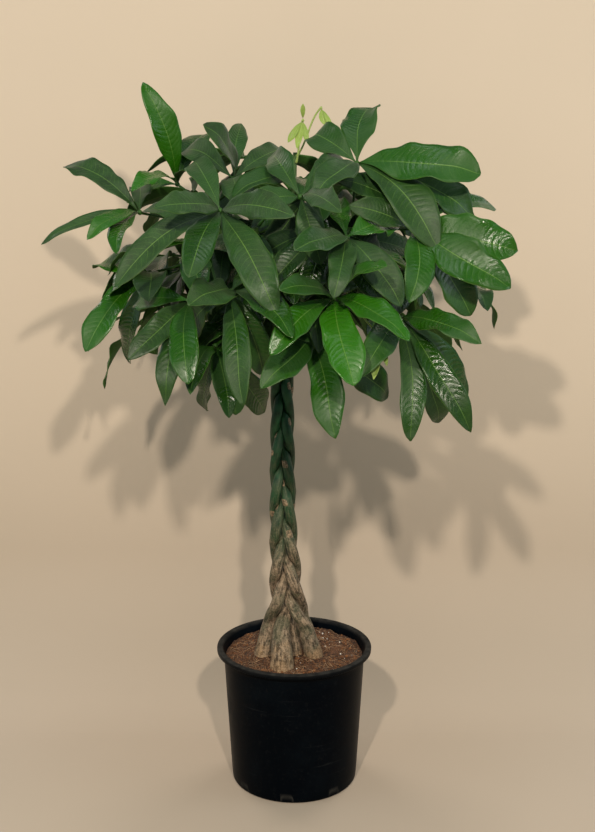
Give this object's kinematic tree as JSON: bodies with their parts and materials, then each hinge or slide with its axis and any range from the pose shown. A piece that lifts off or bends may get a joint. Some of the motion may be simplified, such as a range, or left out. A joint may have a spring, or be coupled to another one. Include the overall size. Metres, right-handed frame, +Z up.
{
  "type": "potted money tree",
  "caption": "Potted money tree: braided stems with a round crown of glossy palmate leaves, in a black nursery pot filled with soil.",
  "frame": {"origin": "middle of the pot's flat foot, on the floor", "axes": "+Z up along the pot's axis and the trunk; -Y towards the front, the side the picture shows; +X to the right seen from the front"},
  "size_m": [0.7693, 0.78, 1.24],
  "materials": {
    "pot_plastic": "satin black blow-moulded plastic with light scuffs",
    "soil": "damp coir and peat with white perlite",
    "bark": "smooth young bark, green above and brown-grey below",
    "leaf": "dark green, waxy and glossy, paler veins",
    "young_leaf": "pale yellow-green, soft sheen"
  },
  "bodies": {
    "root": {"leaf_back_1": "leaf", "leaf_back_10": "leaf", "leaf_back_11": "leaf", "leaf_back_12": "leaf", "leaf_back_2": "leaf", "leaf_back_3": "leaf", "leaf_back_4": "leaf", "leaf_back_5": "leaf", "leaf_back_6": "leaf", "leaf_back_7": "leaf", "leaf_back_8": "leaf", "leaf_back_9": "leaf", "leaf_front": "leaf", "leaf_front_high": "leaf", "leaf_front_left": "leaf", "leaf_front_low": "leaf", "leaf_inner_1": "leaf", "leaf_inner_2": "leaf", "leaf_inner_3": "leaf", "leaf_inner_4": "leaf", "leaf_left": "leaf", "leaf_left_hanging": "leaf", "leaf_left_high": "leaf", "leaf_left_low": "leaf", "leaf_left_top": "leaf", "leaf_middle": "leaf", "leaf_middle_left": "leaf", "leaf_right": "leaf", "leaf_right_low": "leaf", "leaf_right_top": "leaf", "leaf_top_left": "leaf", "pot": "pot_plastic", "soil": "soil", "stem_1": "bark", "stem_2": "bark", "stem_3": "bark", "stem_4": "bark", "stem_5": "bark", "young_leaf_low": "young_leaf", "young_leaf_top_left": "young_leaf", "young_leaf_top_right": "young_leaf"}
  },
  "joints": []
}
